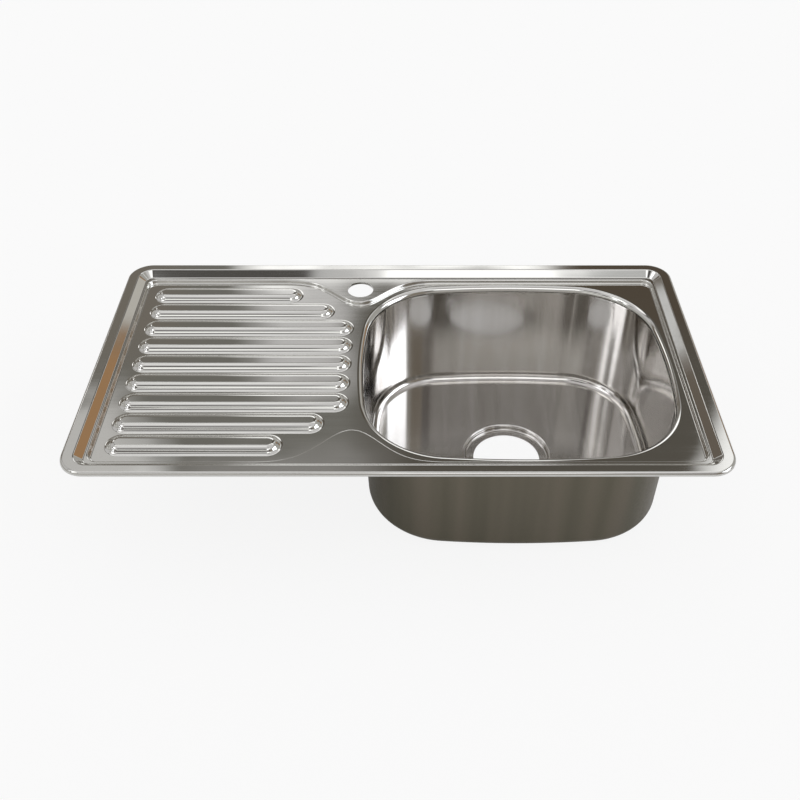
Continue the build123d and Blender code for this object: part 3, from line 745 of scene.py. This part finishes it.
screw = Shaper("clip_screw")
core = screw.size("Core radius", 2.0)
thread_start, seat = screw.size("Thread start", 31.7), screw.size("Head seat", 51.0)
rivet_low, rivet_high = screw.size("Rivet end", 28.0), screw.size("Rivet shoulder", 28.8)
core_rod = screw.rod(core, rivet_high, seat)
rivet_end = screw.rod(screw.size("Rivet radius", 2.8), rivet_low, rivet_high)
thread_long = screw.number("SUBTRACT", seat, thread_start)
turns = screw.number("DIVIDE", thread_long, screw.size("Pitch", 0.8))
helix = screw.step(
    "GeometryNodeCurveSpiral",
    Resolution=20,
    Rotations=turns,
    Start_Radius=core,
    End_Radius=core,
    Height=thread_long,
)
helix = screw.step("GeometryNodeSetCurveNormal", helix, mode="Z_UP")
ridge_foot, ridge_crest = -0.1 * MM, 0.5 * MM
foot_half, crest_half = 0.36 * MM, 0.05 * MM
ridge = screw.step(
    "GeometryNodeCurvePrimitiveQuadrilateral",
    mode="POINTS",
    Point_1=(ridge_foot, -foot_half, 0.0),
    Point_2=(ridge_crest, -crest_half, 0.0),
    Point_3=(ridge_crest, crest_half, 0.0),
    Point_4=(ridge_foot, foot_half, 0.0),
)
thread = screw.step("GeometryNodeCurveToMesh", helix, ridge, Fill_Caps=True)
thread = screw.step("GeometryNodeTransform", thread, Translation=screw.along(thread_start))
head_radius, head_high = screw.size("Head radius", 4.4), screw.size("Head height", 3.5)
head_top = screw.number("ADD", seat, head_high)
chamfer = screw.size("Head chamfer", 0.5)
bar = screw.step("GeometryNodeCurvePrimitiveLine", Start=screw.along(seat), End=screw.along(head_top))
bar = screw.step("GeometryNodeResampleCurve", bar, Count=8)
from_top = screw.number("SUBTRACT", 1.0, screw.step("GeometryNodeSplineParameter"))
from_top = screw.number("MULTIPLY", from_top, head_high)
edge = screw.number("ADD", from_top, screw.number("SUBTRACT", head_radius, chamfer))
taper = screw.number("MINIMUM", 1.0, screw.number("DIVIDE", edge, head_radius))
disc = screw.step("GeometryNodeCurvePrimitiveCircle", Resolution=40, Radius=head_radius)
head = screw.step("GeometryNodeCurveToMesh", bar, disc, Scale=taper, Fill_Caps=True)
slot_wide, slot_deep = screw.size("Slot width", 1.2), screw.size("Slot depth", 1.4)
past_head = 20 * MM
twice_deep = screw.number("MULTIPLY", slot_deep, 2.0)
slot_size = screw.step("ShaderNodeCombineXYZ", slot_wide, past_head, twice_deep)
slot = screw.step("GeometryNodeMeshCube", slot_size)
slot = screw.step("GeometryNodeTransform", slot, Translation=screw.along(head_top))
head = screw.step("GeometryNodeMeshBoolean", head, slot, operation="DIFFERENCE", solver="EXACT")
whole = screw.step("GeometryNodeJoinGeometry", [core_rod, rivet_end, thread, head])
drop = screw.along(screw.number("MULTIPLY", screw.size("Axis drop", 0.5), -1.0))
whole = screw.step("GeometryNodeTransform", whole, Translation=drop, Rotation=(0.0, math.pi / 2, 0.0))
screw.finish(at_hinges(screw, whole), zinc_plate)
for clip in CLIPS:
    piece = screw.form(f"threaded_screw_{clip}", seeds_at(f"screw_seed_{clip}", [clip]))
    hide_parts(f"clip_screw_{clip}")
    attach(piece, f"screw_{clip}")


# Studio -----------------------------------------------------------------------------------------------
# A white floor and soft lit panels all round, as in a product photograph. The panels are painted on the
# world, one over another, so that they only light the sink and show in its steel. Each has its direction
# (0 is behind the sink, + to the right) and half width, its height and half height, the softness of its
# sides and of its upper and lower edges, all in degrees, and its colour.

ROOM_COLOR = (0.44, 0.43, 0.405)
PANELS = {
    "studio wall on the left": (-90, 70, 50, 25, 20, 12, (0.61, 0.6, 0.6)),
    "ceiling": (0, 180, 90, 34, 1, 8, (0.71, 0.7, 0.705)),
    "light in the ceiling on the left": (-46, 24, 74, 5, 8, 4, (1.1, 1.1, 1.1)),
    "lamp high on the left": (-100, 15, 54, 7, 6, 4, (2.2, 2.2, 2.2)),
    "window on the right": (107, 12, 24, 16, 5, 6, (2.3, 2.35, 2.45)),
    "window on the right, upper pane": (97, 21, 38, 7.5, 5, 5, (3.5, 3.65, 3.95)),
    "dark wall behind the camera": (180, 52, 45, 5, 8, 2.5, (0.1, 0.088, 0.083)),
    "pale wall behind the camera": (180, 52, 57, 6, 8, 3, (0.6, 0.6, 0.6)),
    "softbox behind the camera": (172, 12, 61, 11, 5, 4, (1.6, 1.6, 1.6)),
    "softbox behind on the right": (147, 14, 67, 5, 5, 3, (1.4, 1.4, 1.4)),
    "gap over the softboxes": (157, 24, 79, 5, 6, 4, (0.25, 0.24, 0.23)),
    "dark gap behind on the left": (-150, 18, 64, 6, 5, 4, (0.1, 0.095, 0.09)),
    "strip light behind on the left": (-158, 22, 50.5, 3.5, 6, 2.5, (1.2, 1.2, 1.18)),
    "grey band behind the camera": (180, 52, 35, 3.5, 8, 3, (0.25, 0.23, 0.21)),
    "pale band behind the camera": (-173, 20, 35, 3.5, 8, 3, (0.68, 0.67, 0.65)),
    "thin tube behind the camera": (180, 20, 38.7, 0.8, 8, 1.2, (1.0, 1.0, 0.98)),
    "low light behind on the left": (-145, 26, 28, 5, 8, 3, (1.1, 1.1, 1.08)),
    "dark frame on the left": (-96, 14, 43, 3.5, 5, 2.5, (0.12, 0.11, 0.1)),
    "grey post on the left": (-110.5, 4.5, 36.5, 4, 3, 3, (0.36, 0.35, 0.34)),
    "window on the left, first pane": (-119, 4, 35, 6, 3, 3, (2.0, 2.04, 2.12)),
    "window on the left, second pane": (-102, 3.5, 35.6, 3.2, 3, 2, (2.6, 2.65, 2.75)),
    "brown wall behind on the right": (137, 10, 36, 13, 5, 4, (0.26, 0.23, 0.19)),
    "brown wall behind on the right, low": (140, 22, 18, 12, 8, 4, (0.25, 0.22, 0.19)),
    "grey foot of the wall behind": (178, 24, 10, 14, 8, 4, (0.4, 0.38, 0.36)),
    "grey at the back left": (-14, 22, 39, 9.5, 8, 4, (0.19, 0.184, 0.167)),
    "grey at the back left, upper edge": (-14, 18, 46.5, 2.5, 8, 2, (0.3, 0.29, 0.28)),
    "light at the back left": (-25, 5, 46, 4, 4, 3, (0.8, 0.8, 0.8)),
    "light at the back left, lower": (-26, 4.5, 41, 2.4, 4, 1.5, (0.62, 0.61, 0.6)),
    "light left of the middle": (-7.5, 3.5, 36.5, 4, 4, 3, (0.62, 0.61, 0.61)),
    "dark at the back right": (11.5, 14.5, 41, 7.5, 7, 3, (0.11, 0.1, 0.085)),
    "strip light over the back": (0, 50, 54.5, 3.5, 10, 2, (1.3, 1.3, 1.3)),
    "dark line under the strip light": (0, 50, 50, 1.5, 10, 1.5, (0.12, 0.11, 0.1)),
    "tube at the back right": (27, 3, 42, 9, 3, 5, (1.2, 1.2, 1.2)),
    "brown at the back left, low": (-25, 9, 27, 10, 5, 4, (0.2, 0.18, 0.155)),
    "dark at the back right, low": (15, 6.5, 30, 6, 3, 4, (0.1, 0.08, 0.06)),
    "brown foot of the back wall": (-10, 20, 7.5, 7.5, 4, 3, (0.16, 0.145, 0.13)),
    "white at the back": (-0.5, 10.5, 25, 9, 4, 2.5, (1.5, 1.5, 1.5)),
    "brown right of the back": (40, 9, 16, 14, 4, 5, (0.22, 0.19, 0.16)),
    "orange right of the back": (40, 4.5, 21, 6, 4, 4, (0.4, 0.235, 0.12)),
    "pale edge beside the orange": (33, 2, 20, 6, 2, 3, (0.58, 0.56, 0.52)),
    "brown left of the back": (-40, 10, 16, 18, 5, 5, (0.16, 0.135, 0.11)),
    "lamp left of the back": (-34, 4, 29.5, 3.5, 3, 3, (2.0, 2.0, 2.0)),
    "small lamp left of the back": (-35, 2, 18, 2.5, 2, 2, (0.7, 0.7, 0.7)),
}

FLOOR_SIZE = 12.0
FLOOR_GAP = 0.4
floor_level = BOWL_FLOOR - WASTE_DROP - SHEET - FLOOR_GAP
bpy.ops.mesh.primitive_plane_add(size=FLOOR_SIZE, location=(0, 0, floor_level * MM))
floor = bpy.context.object
floor.name = "studio_floor"
floor_paint = bpy.data.materials.new("white_floor")
floor_paint.use_nodes = True
tree = floor_paint.node_tree
floor_shader = tree.nodes["Principled BSDF"]
floor_shader.inputs["Base Color"].default_value = (0.86, 0.86, 0.86, 1)
floor_shader.inputs["Roughness"].default_value = 0.9
glow = tree.nodes.new("ShaderNodeEmission")
seen = tree.nodes.new("ShaderNodeLightPath")
# The share of plain white in the floor for each kind of ray. The rest of it is paint, which takes shadow.
white_share = None
for ray, share in (("Is Camera Ray", 0.88), ("Is Transmission Ray", 0.88), ("Is Glossy Ray", 0.15)):
    part = tree.nodes.new("ShaderNodeMath")
    part.operation = "MULTIPLY_ADD"
    part.inputs[1].default_value = share
    part.inputs[2].default_value = 0.0
    tree.links.new(seen.outputs[ray], part.inputs[0])
    if white_share is not None:
        tree.links.new(white_share, part.inputs[2])
    white_share = part.outputs[0]
lift = tree.nodes.new("ShaderNodeMixShader")
tree.links.new(white_share, lift.inputs[0])
tree.links.new(floor_shader.outputs[0], lift.inputs[1])
tree.links.new(glow.outputs[0], lift.inputs[2])
tree.links.new(lift.outputs[0], tree.nodes["Material Output"].inputs["Surface"])
floor.data.materials.append(floor_paint)

world = bpy.data.worlds.new("studio")
bpy.context.scene.world = world
world.use_nodes = True
tree = world.node_tree


def calculate(operation, *values):
    """A Math node on sockets or numbers."""
    node = tree.nodes.new("ShaderNodeMath")
    node.operation = operation
    for socket, value in zip(node.inputs, values):
        if isinstance(value, float):
            socket.default_value = value
        else:
            tree.links.new(value, socket)
    return node.outputs[0]


def faded(distance, half, softness):
    """One inside a panel's half size, nought outside it, with a soft edge."""
    node = tree.nodes.new("ShaderNodeMapRange")
    node.interpolation_type = "SMOOTHSTEP"
    node.inputs["From Min"].default_value = half - softness / 2
    node.inputs["From Max"].default_value = half + softness / 2
    node.inputs["To Min"].default_value = 1.0
    node.inputs["To Max"].default_value = 0.0
    tree.links.new(distance, node.inputs["Value"])
    return node.outputs["Result"]


direction = tree.nodes.new("ShaderNodeSeparateXYZ")
tree.links.new(tree.nodes.new("ShaderNodeTexCoord").outputs["Generated"], direction.inputs[0])
azimuth = calculate("ARCTAN2", direction.outputs["X"], direction.outputs["Y"])
elevation = calculate("ARCSINE", direction.outputs["Z"])
painted = None
for panel, (side, half_side, height, half_height, soft_side, soft_height, color) in PANELS.items():
    amount = faded(
        calculate("ABSOLUTE", calculate("SUBTRACT", elevation, math.radians(height))),
        math.radians(half_height),
        math.radians(soft_height),
    )
    if half_side < 180:
        off = calculate("WRAP", calculate("SUBTRACT", azimuth, math.radians(side)), math.pi, -math.pi)
        across = faded(calculate("ABSOLUTE", off), math.radians(half_side), math.radians(soft_side))
        amount = calculate("MULTIPLY", amount, across)
    layer = tree.nodes.new("ShaderNodeMix")
    layer.data_type = "RGBA"
    layer.clamp_factor = True
    layer.label = panel
    tree.links.new(amount, layer.inputs[MIX_AMOUNT])
    if painted is None:
        layer.inputs[MIX_FIRST].default_value = (*ROOM_COLOR, 1)
    else:
        tree.links.new(painted, layer.inputs[MIX_FIRST])
    layer.inputs[MIX_SECOND].default_value = (*color, 1)
    painted = layer.outputs[MIX_COLOR]
# Behind the sink the camera sees plain white.
backdrop = tree.nodes.new("ShaderNodeMix")
backdrop.data_type = "RGBA"
backdrop.inputs[MIX_SECOND].default_value = (1.0, 1.0, 1.0, 1)
rays = tree.nodes.new("ShaderNodeLightPath")
tree.links.new(rays.outputs["Is Camera Ray"], backdrop.inputs[MIX_AMOUNT])
tree.links.new(painted, backdrop.inputs[MIX_FIRST])
tree.links.new(backdrop.outputs[MIX_COLOR], tree.nodes["Background"].inputs["Color"])
tree.nodes["Background"].inputs["Strength"].default_value = 1.0
